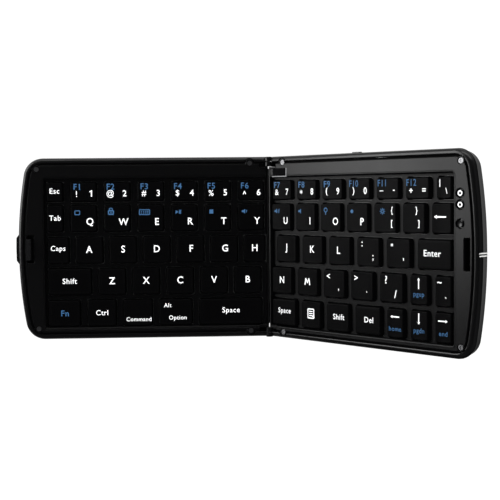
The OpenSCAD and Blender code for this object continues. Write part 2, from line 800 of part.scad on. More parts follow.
module connect_button() {
  color(dark) on_right() {
    post(dot_u, connect_v, dot_d / 2, deck_low - flange_t, deck_w);
    post(dot_u, connect_v, flange_r, deck_low - flange_t - fit, deck_low - fit);
    post(dot_u, connect_v, stem_r, board_top + tact_h + connect_travel + pin_fit, deck_low);
  }
}

module status_windows() {
  color("#8fa3b5") on_right() for (v = window_v) {
    post(dot_u, v, dot_d / 2, deck_low, deck_w);
    post(dot_u, v, pipe_r, board_top + led_h + fit, deck_low + slice);
  }
}

module charge_socket() {
  color(steel) on_right()
    translate([socket_u, depth / 2 - socket_sunk - socket_l, socket_w0 + socket_h / 2])
      rotate([-90, 0, 0]) difference() {
        linear_extrude(socket_l) rounded(socket_w, socket_h, socket_r);
        translate([0, 0, socket_back]) linear_extrude(socket_l)
          rounded(socket_w - 2 * socket_t, socket_h - 2 * socket_t, socket_r - socket_t / 2);
      }
}

// ---- Hinge ----

module hinge_pins() {
  color(steel) on_left() both_ends() rod(0, axis_w, pin_r, left_knuckle_v, left_knuckle_v + pin_l);
}

// Flat cable: an arc round the hinge axis between two straight ends
module hinge_flex() {
  r = axis_w - flex_w0;
  v0 = flex_v - flex_w / 2;
  lap = 0.5;
  color("#a5642a") {
    on_left() block(-slice, flex_in, v0, v0 + flex_w, flex_w0 - flex_t, flex_w0);
    on_right() block(-slice, flex_in, v0, v0 + flex_w, flex_w0 - flex_t, flex_w0);
    translate([hinge_x, v0, hinge_z]) rotate([-90, 0, 0]) rotate([0, 0, 90 - fold_angle - lap])
      rotate_extrude(angle = fold_angle + 2 * lap, $fn = 96) translate([r, 0]) square([flex_t, flex_w]);
  }
}

left_shell();
left_deck();
left_lattice();
left_membrane();
left_bed_plate();
left_domes();
left_scissors();
left_feet();
left_screws();
battery();
latch();
latch_spring();
right_shell();
right_deck();
right_lattice();
right_membrane();
right_bed_plate();
right_domes();
right_scissors();
right_feet();
right_screws();
circuit_board();
power_switch();
connect_button();
status_windows();
charge_socket();
hinge_pins();
hinge_flex();
for (name = KEY_NODES) key_node(name);
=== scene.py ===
"""Looks of a folding travel keyboard: two hinged halves, key caps with printed legends,
moulded shells and decks, controls and screws, on a white floor.

Lengths are in millimetres in a half's own frame: u runs outwards from the hinge axis, v along
the hinge towards the number row, and w up from the rim. place() takes them to metres.
"""

import json
import math

import bpy
import numpy as np
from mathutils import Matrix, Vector


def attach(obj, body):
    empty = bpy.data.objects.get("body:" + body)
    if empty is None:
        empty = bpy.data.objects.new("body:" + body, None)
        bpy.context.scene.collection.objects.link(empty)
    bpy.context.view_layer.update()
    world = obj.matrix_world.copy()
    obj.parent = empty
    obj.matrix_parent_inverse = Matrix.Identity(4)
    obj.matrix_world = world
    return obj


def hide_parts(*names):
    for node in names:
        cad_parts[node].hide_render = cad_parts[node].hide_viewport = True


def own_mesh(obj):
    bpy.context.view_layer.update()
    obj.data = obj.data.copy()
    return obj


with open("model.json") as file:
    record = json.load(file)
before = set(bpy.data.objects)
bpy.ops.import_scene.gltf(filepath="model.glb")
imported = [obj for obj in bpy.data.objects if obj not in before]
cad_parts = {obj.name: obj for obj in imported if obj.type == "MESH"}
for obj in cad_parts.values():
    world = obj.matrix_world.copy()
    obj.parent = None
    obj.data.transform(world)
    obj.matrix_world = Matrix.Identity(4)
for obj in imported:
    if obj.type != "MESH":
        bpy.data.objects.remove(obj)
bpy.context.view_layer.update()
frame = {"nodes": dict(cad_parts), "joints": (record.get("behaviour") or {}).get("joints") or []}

# ---- Sizes ----

# Halves: the curved end stands 0.4 further out than the solid's and is flatter
DEPTH, HALF_T = 98.0, 10.0
END_MID, END_R, CORNER_R = 135.4, 240.0, 10.5
END_CENTRE = END_MID - END_R
CORNER_V = DEPTH / 2 - CORNER_R
CORNER_U = END_CENTRE + math.sqrt((END_R - CORNER_R) ** 2 - CORNER_V ** 2)
END_ANGLE = math.degrees(math.atan2(CORNER_V, CORNER_U - END_CENTRE))
AXIS_W = 0.15  # hinge axis above the rims
FIT = 0.15  # gap between fitted pieces
BEYOND = 1  # how far a cutter reaches past the surface that it opens
SUNK_IN = 0.02  # how far touching surfaces are sunk into each other

# Shells: rim, floor, the hinge side's two faces, rounded edges, drafts and seam
RIM, FLOOR_W = 2.9, -8.8
HINGE_GAP, WALL_U = 0.2, 0.9
LOWER_R, UPPER_R, LIP_R = 3.0, 1.4, 0.45
LOW_DRAFT, HIGH_DRAFT = 1.0, 0.4
SEAM_W, SEAM_H, SEAM_D, SEAM_STEP = -2.9, 0.35, 0.3, 0.05
FEET, FOOT_R, FOOT_SUNK = ((9.0, 39.5), (118.0, 36.0)), 4.0, 0.4

# Hinge: barrels, the notch round the other half's barrel, corner posts and the lip below the gap
BARREL_R, BARREL_L, BARREL_GAP, BARREL_EDGE, BARREL_NOTCH_R = 1.9, 2.5, 0.15, 0.2, 2.25
BARREL_V = {"right": 46.4, "left": 43.75}
POST_U, POST_V, POST_GAP = 5.0, 42.8, 0.2
LIP_OUT, LIP_IN, LIP_H, LIP_GAP = 1.2, 2.5, 0.4, 0.1

# Openings in the walls: latch button, power switch, charge socket and the notch in the end
BUTTON_U, BUTTON_HALF_L, BUTTON_W = 130.8, 8.5, (-7.6, -2.6)
SWITCH_U, KNOB_L, SWITCH_TRAVEL, SWITCH_W = 60.3, 4.6, 3.0, (-6.0, -3.8)
SOCKET_U, SOCKET_L, SOCKET_H, SOCKET_LOW, SOCKET_R = 75.5, 7.6, 3.4, -7.0, 0.85
END_NOTCH_D, END_NOTCH_HALF, END_NOTCH_W = 0.7, 1.15, (-8.4, -0.9)
RIB_V, RIB_T, RIB_SUNK = (-0.9, 0.35), 0.55, 0.1
RIB_STEPS = ((-6.6, -1.0, 0.3), (-8.2, -6.4, 0.68))  # from w, to w, and inset from the end

# Decks: the groove round them, the key well, and the ears round the screws
DECK_W, DECK_LOW, DECK_EDGE = -0.1, -1.7, 0.28
GROOVE, GROOVE_H = 1.0, 1.2
WELL_U, WELL_V0, WELL_V1, WELL_R, WELL_CHAMFER = 120.9, -42.5, 37.6, 0.8, 0.7
BORDER_LAP, LEDGE_LAP, LEDGE_EDGE = 0.35, 0.5, 0.05
SCREWS = ((10.1, 45.6), (125.042, 43.063))
EAR_R, EAR_GAP, EAR_EDGE, EAR_PROUD = 2.2, 0.55, 0.2, 0.01
BORE_R, BORE_H, SCREW_R, BORE_LAP = 1.75, 1.2, 0.85, 0.01
HOOK_U = {"right": (126.9, 130.2), "left": (126.8, 130.5)}  # the hook's slot and recess
HOOK_HALF_L, HOOK_CORNER_R = 7.5, 0.5
PLATE_U, PLATE_V, PLATE_R, PLATE_T, PLATE_EDGE = (3.1, 12.9), (38.4, 42.6), 0.5, 0.08, 0.03
BEAD, BEAD_T, BEAD_EDGE, BEAD_BEYOND = 0.5, 0.09, 0.05, 0.6

# Controls in a row beside the keys. A crown is pairs of radius and height over the top
DOT_U, DOT_R, DOT_CAP_R, FLANGE_R = 124.8, 2.1, 1.6, 1.0
CONNECT_V, WINDOW_V = 14.1, (22.9, 28.2)
FLANGE_W, SHOULDER_W, DOT_TOP = DECK_LOW - 0.6, DECK_W - 1.3, DECK_W - 0.02
CONNECT_EDGE, CONNECT_CROWN = 0.25, ((1.0, -0.1), (0.4, -0.16))
WINDOW_EDGE, WINDOW_CROWN = 0.15, ((1.0, 0.01),)
LAMP_MARK_R, LAMP_MARK_WIDTH, LAMP_MARK_LIFT = 1.0, 0.55, 0.02

# Keys: rows, cap, and the dish in the top of all but the widest caps
KEYS_END_U, KEY_MARGIN = 119.6, 1.9
ROW_PITCH, NUMBER_PITCH = 17.1, 12.4
NUMBER_D, KEY_D = 9.9, 13.9
PLAIN, BROAD = 13.7, 14.4  # two widths of key; the others are shares of the plain one
KEY_TOP, KEY_H, KEY_WALL, KEY_R = -0.5, 2.5, 1.0, 1.0
KEY_FLARE, KEY_FOOT_R, KEY_SHOULDER_W, KEY_SHOULDER_OUT = 0.45, 0.08, -0.55, 0.02
KEY_EDGE, KEY_EDGE_H, KEY_R_LOSS, KEY_R_LEAST = 0.6, 0.45, 0.7, 0.3
KEY_DISH, DISHED_UP_TO, DISH_EDGE = 0.25, 16.0, 0.65
TOP_SHARES = (0.86, 0.66, 0.44, 0.22, 0.04)  # the top's rings, as shares of its outline
BED_W, PRESSED_SHARE = -4.75, 0.48

# Legends: half the ink's thickness, its height over the cap, how much strokes are fattened, and
# how far apart and how narrow the letters are
INK_HALF_T, INK_LIFT = 0.01, 0.025
FATTER, FATTER_SMALL, SOLID_SIGNS = 0.09, 0.03, "@%&$#"
SPACING, TEXT_SIZE, TEXT_STEPS = 1.09, 10.0, 3
NARROW_LETTER, NARROW_WORD, NARROW_F_NUMBER = 0.94, 0.98, 0.82

fold = next(j for j in frame["joints"] if j["name"] == "fold")
HINGE = np.array(fold["pos_m"], float)
FOLD = -math.radians(fold["range_deg"][0])
AXES = {
    "left": np.array([[1, 0, 0], [0, 1, 0], [0, 0, 1]], float),
    "right": np.array([[math.cos(FOLD), 0, math.sin(FOLD)],
                       [0, 1, 0],
                       [-math.sin(FOLD), 0, math.cos(FOLD)]]),
}


def place(points, side):
    """Reader's x, v and w of one half in mm to metres: hinge + x X + v Y + (w - axis height) W."""
    p = np.asarray(points, float) - (0, 0, AXIS_W)
    return HINGE + p @ AXES[side] / 1000


# ---- Outlines: arrays of u and v ----

def arc(cu, cv, radius, a0, a1, steps, start=0):
    """Points centre + radius (cos a, sin a) for angles a from a0 to a1 degrees."""
    a = np.radians(np.linspace(a0, a1, steps + 1))[start:]
    return np.stack([cu + radius * np.cos(a), cv + radius * np.sin(a)], 1)


def circle(u, v, r, steps=40):
    """A whole turn of arc(), without the repeated last point."""
    return arc(u, v, r, 0, 360, steps)[:-1]


def oblong(u0, u1, v0, v1):
    """The four corners of a rectangle, counterclockwise."""
    return np.array([[u0, v0], [u1, v0], [u1, v1], [u0, v1]], float)


def rounded(l, d, r, corner=5, along=4):
    """Rounded rectangle l by d, corner radius r, counterclockwise, points along its sides too."""
    parts = []
    for k, (sx, sy) in enumerate([(1, -1), (1, 1), (-1, 1), (-1, -1)]):
        bend = arc(sx * (l / 2 - r), sy * (d / 2 - r), r, 90 * k - 90, 90 * k, corner)
        nx, ny = [(1, 1), (-1, 1), (-1, -1), (1, -1)][k]
        after = arc(nx * (l / 2 - r), ny * (d / 2 - r), r, 90 * k, 90 * k + 90, corner)[0]
        t = np.linspace(0, 1, along + 2)[1:-1, None]
        parts += [bend, bend[-1] + t * (after - bend[-1])]
    return np.concatenate(parts)


def half_outline(inset, u0, corner_steps=24, end_steps=56):
    """A half drawn in by inset: straight near and far edges, round corners, curved end."""
    return np.concatenate([
        [[u0, inset - DEPTH / 2]],
        arc(CORNER_U, -CORNER_V, CORNER_R - inset, -90, -END_ANGLE, corner_steps),
        arc(END_CENTRE, 0, END_R - inset, -END_ANGLE, END_ANGLE, end_steps, 1),
        arc(CORNER_U, CORNER_V, CORNER_R - inset, END_ANGLE, 90, corner_steps, 1),
        [[u0, DEPTH / 2 - inset]],
    ])


def deck_outline(inset, well):
    """A half drawn in by inset, less the key well drawn out by well: open at the hinge."""
    u0, post_u, post_v = WALL_U + FIT, POST_U + FIT, POST_V - FIT
    outer = half_outline(inset, u0)
    outer[0], outer[-1] = (post_u, outer[0][1]), (post_u, outer[-1][1])
    r = WELL_R + well
    u1, v0, v1 = WELL_U + well, WELL_V0 - well, WELL_V1 + well
    inner = np.concatenate([
        [[post_u, post_v], [u0, post_v], [u0, v1]],
        arc(u1 - r, v1 - r, r, 90, 0, 8), arc(u1 - r, v0 + r, r, 0, -90, 8),
        [[u0, v0], [u0, -post_v], [post_u, -post_v]],
    ])
    return np.concatenate([outer, inner])


# ---- Shapes: points u, v, w and faces ----

def ring(outline, w):
    """An outline at height w, or at a height for each of its points."""
    return np.column_stack([outline, np.broadcast_to(w, len(outline))])


def loft(rings, capped=True):
    """Closed rings of equal length (R, N, 3) joined by quads, with a polygon over each end."""
    rings = np.asarray(rings, float)
    count, n = rings.shape[:2]
    r, i = np.meshgrid(np.arange(count - 1), np.arange(n), indexing="ij")
    j = (i + 1) % n
    quads = np.stack([r * n + i, r * n + j, (r + 1) * n + j, (r + 1) * n + i], -1).reshape(-1, 4)
    faces = quads.tolist()
    if capped:
        faces += [list(range(n))[::-1], list(range((count - 1) * n, count * n))]
    return rings.reshape(-1, 3), faces


def prism(outline, w0, w1):
    """An outline carried straight up from w0 to w1."""
    return loft([ring(outline, w0), ring(outline, w1)])


def box(u0, u1, v0, v1, w0, w1):
    """The prism over a rectangle."""
    return prism(oblong(u0, u1, v0, v1), w0, w1)


def post(u, v, r, w0, w1, edge=0.0, steps=40):
    """Upright cylinder with both edges cut back by edge."""
    full = circle(u, v, r, steps)
    if edge == 0:
        return prism(full, w0, w1)
    small = circle(u, v, r - edge, steps)
    return loft([ring(small, w0), ring(full, w0 + edge), ring(full, w1 - edge), ring(small, w1)])


def turned_round(faces):
    """Faces with their corners in the opposite order."""
    return [f[::-1] for f in faces]


def laid(shape):
    """A shape with v and w exchanged, which mirrors it, so its faces are turned round."""
    points, faces = shape
    return points[:, [0, 2, 1]], turned_round(faces)


def rod(u, w, r, v0, v1, edge=0.0, steps=48):
    """Cylinder along v: the upright one, laid."""
    return laid(post(u, w, r, v0, v1, edge, steps))


def both_ends(shape):
    """A shape and its mirror image across v = 0."""
    points, faces = shape
    return shape, (np.asarray(points) * (1, -1, 1), turned_round(faces))


# ---- Objects ----

def show(name, data):
    """A new object in the scene."""
    made = bpy.data.objects.new(name, data)
    bpy.context.scene.collection.objects.link(made)
    return made


def worked_out(made):
    """The mesh of a curve, or of an object with its modifiers applied."""
    bpy.context.view_layer.update()
    graph = bpy.context.evaluated_depsgraph_get()
    return bpy.data.meshes.new_from_object(made.evaluated_get(graph))


def points_of(mesh):
    """A mesh's points as rows of three."""
    points = np.empty(len(mesh.vertices) * 3)
    mesh.vertices.foreach_get("co", points)
    return points.reshape(-1, 3)


def curve_shape(curve):
    """The points and faces that a curve or a text makes."""
    carrier = show(curve.name, curve)
    mesh = worked_out(carrier)
    bpy.data.objects.remove(carrier)
    return points_of(mesh), [list(p.vertices) for p in mesh.polygons]


class Piece:
    """Closed surfaces of one half, gathered into one object. Parts are given in u, v, w, or in the
    reader's x, v, w where x runs to the right on both halves."""

    def __init__(self, side):
        self.side, self.points, self.faces, self.count = side, [], [], 0

    def add(self, shape, reader=False):
        """Adds a shape, mirrored on the left half unless it is in the reader's x."""
        points, faces = shape
        points = np.array(points, float)
        if self.side == "left" and not reader:
            points[:, 0] *= -1
            faces = turned_round(faces)
        self.points.append(place(points, self.side))
        self.faces += [[k + self.count for k in f] for f in faces]
        self.count += len(points)
        return self

    def mesh(self, name):
        """All the shapes as one mesh."""
        m = bpy.data.meshes.new(name)
        m.from_pydata(np.concatenate(self.points).tolist(), [], self.faces)
        return m

    def make(self, name, body, slot, material, sharp=35, cuts=None, nodes=(), smooth=True):
        """The piece as a dressed object, with the shapes of another piece cut out of it."""
        made = show(name, self.mesh(name))
        if cuts is not None:
            cut_away(made, cuts)
        return dress(made, body, slot, material, sharp, nodes, smooth)


def cut_away(made, cuts):
    """Takes the solids of the piece cuts out of an object, for good."""
    cutter = show("cutter", cuts.mesh("cutter"))
    modifier = made.modifiers.new("openings", "BOOLEAN")
    modifier.operation, modifier.solver, modifier.object = "DIFFERENCE", "EXACT", cutter
    modifier.use_self = True
    result = worked_out(made)
    made.modifiers.clear()
    made.data = result
    bpy.data.objects.remove(cutter)


def dress(made, body, slot, material, sharp=35, nodes=(), smooth=True):
    """Shading with sharp edges, a material, a body to ride on, and the CAD nodes it stands for."""
    made.data.materials.clear()
    made.data.materials.append(material)
    made.data.set_sharp_from_angle(angle=math.radians(sharp))
    made.data.polygons.foreach_set("use_smooth", np.full(len(made.data.polygons), smooth))
    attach(made, body)
    if nodes:
        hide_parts(*nodes)
    return made


# ---- Materials ----

class Value:
    """A shader socket: sums, products and powers of it add Math nodes."""

    def __init__(self, nodes, socket):
        self.nodes, self.socket = nodes, socket

    def math(self, operation, a, b):
        return self.nodes.node("ShaderNodeMath", {0: a, 1: b}, operation=operation)

    def __add__(self, other):
        return self.math("ADD", self, other)

    def __radd__(self, other):
        return self.math("ADD", other, self)

    def __mul__(self, other):
        return self.math("MULTIPLY", self, other)

    def __rmul__(self, other):
        return self.math("MULTIPLY", other, self)

    def __pow__(self, other):
        return self.math("POWER", self, other)


class Nodes:
    """A node tree, with node() to add any node to it."""

    def __init__(self, tree):
        self.tree = tree

    def put(self, node, inputs):
        """Links or sets a node's inputs, given by name or by number."""
        for key, value in inputs.items():
            socket = node.inputs[key]
            if isinstance(value, Value):
                self.tree.links.new(value.socket, socket)
            elif socket.type == "RGBA":
                socket.default_value = (*value, 1.0)
            else:
                socket.default_value = value

    def node(self, kind, inputs=None, out=0, stops=None, **settings):
        """A node of one kind: its settings, a ramp's stops, then its inputs. Gives one output."""
        made = self.tree.nodes.new(kind)
        for key, value in settings.items():
            setattr(made, key, value)
        if stops:
            ramp = made.color_ramp.elements
            while len(ramp) < len(stops):
                ramp.new(0.5)
            for element, (position, color) in zip(ramp, stops):
                element.position, element.color = position, (*color, 1)
        self.put(made, inputs or {})
        return Value(self, made.outputs[out])


class Finish(Nodes):
    """A material on Principled."""

    def __init__(self, name, color, rough, metallic=0.0, specular=0.5):
        self.material = bpy.data.materials.new(name)
        self.material.use_nodes = True
        super().__init__(self.material.node_tree)
        self.shader = self.tree.nodes["Principled BSDF"]
        self.put(self.shader, {"Base Color": color, "Roughness": rough, "Metallic": metallic,
                               "Specular IOR Level": specular})

    def where(self):
        """The place on the object, in metres."""
        return self.node("ShaderNodeTexCoord", out="Object")

    def noise(self, size_mm, detail=2.0, rough=0.5):
        """Noise from 0 to 1 with features of about size_mm."""
        return self.node("ShaderNodeTexNoise", {"Vector": self.where(), "Scale": 1000 / size_mm,
                                                "Detail": detail, "Roughness": rough})

    def mix(self, factor, a, b):
        """The colour a at factor 0 and b at 1, by the Mix node's colour sockets."""
        return self.node("ShaderNodeMix", {0: factor, 6: a, 7: b}, out=2, data_type="RGBA")

    def bump(self, height, depth_mm):
        """Relief of the given depth where height runs from 0 to 1."""
        self.put(self.shader, {"Normal": self.node("ShaderNodeBump", {
            "Height": height, "Distance": depth_mm / 1000, "Strength": 1.0})})


PATCH_MM, PATCH_SHARE, HANDLED = 26.0, 0.2, 0.08
DUST_MM, DUST_SHARE, DUST_SHARPNESS, DUST_GAIN, DUST_COLOR = 1.6, 0.3, 5.0, 1.5, 0.0005


def moulded(name, color, rough, grain_mm, depth_mm, specular):
    """Spark-eroded plastic: fine grain, with patches that hands have polished and a little dust."""
    f = Finish(name, color, rough, specular=specular)
    grain = f.noise(grain_mm, 3.0, 0.6)
    patches = f.noise(PATCH_MM, 3.0)
    dust = f.noise(DUST_MM, 4.0, 0.7) ** DUST_SHARPNESS
    dusty = [DUST_GAIN * c + DUST_COLOR for c in color]
    f.put(f.shader, {
        "Roughness": rough - HANDLED / 2 + HANDLED * patches,
        "Base Color": f.mix(dust * DUST_SHARE + patches * PATCH_SHARE, color, dusty),
    })
    f.bump(grain, depth_mm)
    return f.material


def printed(name, color):
    """Pad-printed ink: flat colour, slightly uneven cover and a faint edge gloss."""
    f = Finish(name, color, 0.5, specular=0.3)
    cover = f.noise(0.5, 3.0)
    f.put(f.shader, {"Base Color": f.mix(cover, [0.86 * c for c in color], color),
                     "Roughness": 0.42 + 0.18 * cover})
    return f.material


def brushed(name, color, rough):
    """Metal with fine drawn lines along v and a little unevenness."""
    f = Finish(name, color, rough, metallic=1.0)
    stretched = f.node("ShaderNodeMapping", {"Vector": f.where(), "Scale": (1.0, 0.06, 1.0)})
    lines = f.node("ShaderNodeTexNoise", {"Vector": stretched, "Scale": 4000.0, "Detail": 3.0})
    f.put(f.shader, {"Roughness": rough - 0.08 + 0.16 * lines,
                     "Base Color": f.mix(f.noise(6.0), color, [0.8 * c for c in color])})
    f.bump(lines, 0.004)
    return f.material


def soft_rubber(name, color, rough):
    """Dull rubber: slightly lighter clouds and a fine uneven skin."""
    f = Finish(name, color, rough, specular=0.35)
    clouded = [1.4 * c + 0.003 for c in color]
    f.put(f.shader, {"Base Color": f.mix(f.noise(2.5, 4.0), color, clouded)})
    f.bump(f.noise(0.4, 3.0), 0.02)
    return f.material


def film(name, color, line_color):
    """Printed film: crossed conductor lines a few millimetres apart under a glossy coat."""
    f = Finish(name, color, 0.3)
    tracks = f.node("ShaderNodeTexBrick", {
        "Vector": f.where(), "Scale": 160.0, "Mortar Size": 0.03,
        "Color1": (0, 0, 0), "Color2": (0, 0, 0), "Mortar": (1, 1, 1)})
    f.put(f.shader, {"Base Color": f.mix(tracks, color, line_color)})
    return f.material


def plain_plastic(name, color, rough, specular=0.5):
    """Smooth plastic with faint clouds and a barely felt grain."""
    f = Finish(name, color, rough, specular=specular)
    cover = f.noise(3.0, 3.0)
    f.put(f.shader, {"Base Color": f.mix(cover, [0.92 * c for c in color], color),
                     "Roughness": rough - 0.04 + 0.08 * cover})
    f.bump(f.noise(0.3), 0.004)
    return f.material


SHELL_PLASTIC = moulded("shell_plastic", (0.0006, 0.0006, 0.0007), 0.30, 0.32, 0.012, 0.42)
DECK_PLASTIC = moulded("deck_plastic", (0.0006, 0.0006, 0.0007), 0.34, 0.30, 0.010, 0.28)
# Painted shade: the lattice is darker and less glossy than the deck so that it reads as the shade
# between the keys.
LATTICE_PAINTED_SHADE = moulded("lattice_plastic", (0.0005, 0.0005, 0.0006), 0.42, 0.30, 0.010, 0.16)
KEY_PLASTIC = moulded("key_plastic", (0.0005, 0.0005, 0.0006), 0.44, 0.26, 0.010, 0.05)
# Painted shade: the groove's floor gets this dull, barely glossy plastic so that it stands dark
# like the shade that falls in the groove.
GROOVE_PAINTED_SHADE = moulded("groove_painted_shade", (0.0008, 0.0008, 0.0009), 0.6, 0.30, 0.010, 0.03)
CONTROL_PLASTIC = moulded("control_plastic", (0.0013, 0.0013, 0.0015), 0.26, 0.30, 0.006, 0.4)
WHITE_INK = printed("white_ink", (0.86, 0.87, 0.88))
BLUE_INK = printed("blue_ink", (0.024, 0.080, 0.175))
BED_STEEL = brushed("bed_steel", (0.42, 0.43, 0.45), 0.34)
PIN_STEEL = brushed("pin_steel", (0.40, 0.41, 0.43), 0.25)
SPRING_STEEL = brushed("spring_steel", (0.45, 0.45, 0.46), 0.25)
SOCKET_METAL = brushed("socket_metal", (0.62, 0.62, 0.63), 0.2)
SCREW_STEEL = brushed("screw_steel", (0.32, 0.32, 0.33), 0.38)
BATTERY_FOIL = brushed("battery_foil", (0.55, 0.56, 0.58), 0.3)
FOOT_RUBBER = soft_rubber("foot_rubber", (0.020, 0.020, 0.021), 0.7)
FLEX_RUBBER = soft_rubber("flex_rubber", (0.012, 0.012, 0.013), 0.5)
DOME_RUBBER = soft_rubber("dome_rubber", (0.52, 0.50, 0.44), 0.6)
MEMBRANE_FILM = film("membrane_film", (0.006, 0.007, 0.007), (0.030, 0.031, 0.030))
BOARD_RESIN = film("board_resin", (0.015, 0.085, 0.040), (0.03, 0.16, 0.08))
LINK_NYLON = plain_plastic("link_nylon", (0.62, 0.62, 0.60), 0.45)
WINDOW_PLASTIC = plain_plastic("window_plastic", (0.004, 0.0042, 0.005), 0.3, 0.2)
# Painted highlight: the bead's light grey stands for the gleam along the corner plate's edges.
BEAD_PAINTED_HIGHLIGHT = plain_plastic("bead_painted_highlight", (0.16, 0.16, 0.165), 0.4)
NOTCH_PLASTIC = plain_plastic("notch_plastic", (0.55, 0.55, 0.54), 0.5)
PLATE_FILM = plain_plastic("plate_film", (0.0012, 0.0012, 0.0014), 0.5, 0.02)

CAD_FINISHES = {  # by the ending of a CAD node's name
    "_lattice": LATTICE_PAINTED_SHADE, "_membrane": MEMBRANE_FILM, "_bed_plate": BED_STEEL,
    "_feet": FOOT_RUBBER, "_screws": SCREW_STEEL, "battery": BATTERY_FOIL,
    "latch_spring": SPRING_STEEL, "latch": CONTROL_PLASTIC, "circuit_board": BOARD_RESIN,
    "power_switch": CONTROL_PLASTIC, "charge_socket": SOCKET_METAL, "hinge_pins": PIN_STEEL,
    "hinge_flex": FLEX_RUBBER,
}


def finish_cad_nodes():
    """Each CAD node that stays gets its own material in place of the plain one. Those that other
    pieces stand for aren't seen and get the keys'."""
    for name, made in frame["nodes"].items():
        found = [m for ending, m in CAD_FINISHES.items() if name.endswith(ending)]
        made.data.materials.clear()
        made.data.materials.append(found[0] if found else KEY_PLASTIC)


# ---- Shells ----

def shell_rings():
    """Floor, rounded lower edge, drafted wall with its seam, crowned rim, inner wall, floor's
    upper side. The round edges are quarter turns: inset and height by sine and cosine."""
    quarter = np.radians(np.linspace(0, 90, 9))
    seam = [(0, -SEAM_H), (SEAM_D, -SEAM_H / 2), (SEAM_D, SEAM_H / 2), (SEAM_STEP, SEAM_H)]
    crown = RIM - LIP_R - HIGH_DRAFT
    outside = [(LOW_DRAFT + LOWER_R * (1 - math.sin(a)), LOWER_R * (1 - math.cos(a)) - HALF_T)
               for a in quarter]
    outside += [(inset, SEAM_W + w) for inset, w in seam]
    outside += [(RIM - LIP_R - crown * math.cos(a), UPPER_R * (math.sin(a) - 1)) for a in quarter]
    third = LIP_R / 3
    inside = [(RIM - third, -third, WALL_U - third), (RIM, -LIP_R, WALL_U), (RIM, FLOOR_W, WALL_U)]
    profile = [(inset, w, HINGE_GAP) for inset, w in outside] + inside
    return [ring(half_outline(inset, u0), w) for inset, w, u0 in profile]


def shell_cuts(side):
    """Room for the other half's barrels, the screws' ears and the feet, and the wall's openings."""
    cuts = Piece(side)
    other = BARREL_V["left" if side == "right" else "right"]
    shapes = [rod(0, AXIS_W, BARREL_NOTCH_R, other - BARREL_GAP, other + BARREL_L + BARREL_GAP)]
    shapes += [post(u, v, EAR_R + EAR_GAP, DECK_LOW, BEYOND) for u, v in SCREWS]
    shapes += [post(u, v, FOOT_R + FIT, -HALF_T - BEYOND, FOOT_SUNK - HALF_T) for u, v in FEET]
    for shape in shapes:
        for copy in both_ends(shape):
            cuts.add(copy)
    if side == "left":
        cuts.add(box(BUTTON_U, END_MID + 2 * BEYOND, -BUTTON_HALF_L - FIT, BUTTON_HALF_L + FIT,
                     BUTTON_W[0] - FIT, BUTTON_W[1] + FIT))
    else:
        reach = (KNOB_L + SWITCH_TRAVEL) / 2 + FIT
        wall = DEPTH / 2 - RIM - BEYOND, DEPTH / 2 + BEYOND
        cuts.add(box(SWITCH_U - reach, SWITCH_U + reach, *wall,
                     SWITCH_W[0] - FIT, SWITCH_W[1] + FIT))
        mouth = rounded(SOCKET_L + 2 * FIT, SOCKET_H + 2 * FIT, SOCKET_R, along=0)
        cuts.add(laid(prism(mouth + (SOCKET_U, SOCKET_LOW + SOCKET_H / 2), *wall)))
        cuts.add(box(END_MID - END_NOTCH_D, END_MID + BEYOND, -END_NOTCH_HALF, END_NOTCH_HALF,
                     *END_NOTCH_W))
    return cuts


def make_shell(side):
    """The tray with its openings, and beside it the hinge barrels, corner posts and lip."""
    own = BARREL_V[side]
    Piece(side).add(loft(shell_rings())).make(
        side + "_shell_skin", side + "_half", "shell_plastic", SHELL_PLASTIC,
        cuts=shell_cuts(side), nodes=[side + "_shell"])
    barrels = Piece(side)
    for barrel in both_ends(rod(0, AXIS_W, BARREL_R, own, own + BARREL_L, BARREL_EDGE)):
        barrels.add(barrel)
    for block in both_ends(box(HINGE_GAP + SUNK_IN, POST_U, POST_V, BARREL_V["left"] - POST_GAP,
                               FLOOR_W, -SUNK_IN)):
        barrels.add(block)
    if side == "left":
        low, gap, top = -HALF_T - LIP_H, -HALF_T - LIP_GAP, SUNK_IN - HALF_T
        lip = np.array([[-LIP_OUT, low], [LIP_IN, low], [LIP_IN, top],
                        [HINGE_GAP, top], [HINGE_GAP, gap], [-LIP_OUT, gap]])
        barrels.add(laid(prism(lip, -POST_V, POST_V)))
    barrels.make(side + "_hinge_barrels", side + "_half", "shell_plastic", SHELL_PLASTIC)


# ---- Decks ----

DECK_SHARP = 28


def plate(outlines, w0, w1, edge):
    """A flat plate with holes, its edges chamfered by edge: a filled curve, extruded, bevelled."""
    curve = bpy.data.curves.new("plate", "CURVE")
    curve.dimensions, curve.fill_mode = "2D", "BOTH"
    curve.extrude, curve.bevel_depth = (w1 - w0) / 2 - edge, edge
    curve.offset, curve.bevel_resolution = -edge, 0
    for k, outline in enumerate(outlines):
        outline = outline if k == 0 else outline[::-1]
        rows = np.column_stack([outline, np.zeros(len(outline)), np.ones(len(outline))])
        spline = curve.splines.new("POLY")
        spline.points.add(len(outline) - 1)
        spline.points.foreach_set("co", rows.ravel().astype(np.float32))
        spline.use_cyclic_u = True
    points, faces = curve_shape(curve)
    return points + (0, 0, (w0 + w1) / 2), faces


def well_border():
    """The chamfered edge of the key well: its section, as pairs of distance from the well and
    height, carried round three sides of the well."""
    c = WELL_CHAMFER
    section = [(0.0, DECK_LOW), (0.0, DECK_W - c - 0.1), (0.05, DECK_W - c + 0.05),
               (c - 0.1, DECK_W - 0.06), (c + 0.08, DECK_W), (c + 0.4, DECK_W - 0.02),
               (c + 0.4, DECK_LOW)]
    u0 = WALL_U + FIT + SUNK_IN
    rails = []
    for out, w in section:
        r = WELL_R + out
        u1, v0, v1 = WELL_U + out, WELL_V0 - out, WELL_V1 + out
        path = np.concatenate([[[u0, v0]], arc(u1 - r, v0 + r, r, -90, 0, 8),
                               arc(u1 - r, v1 - r, r, 0, 90, 8), [[u0, v1]]])
        rails.append(ring(path, w))
    return loft(np.stack(rails, 1))


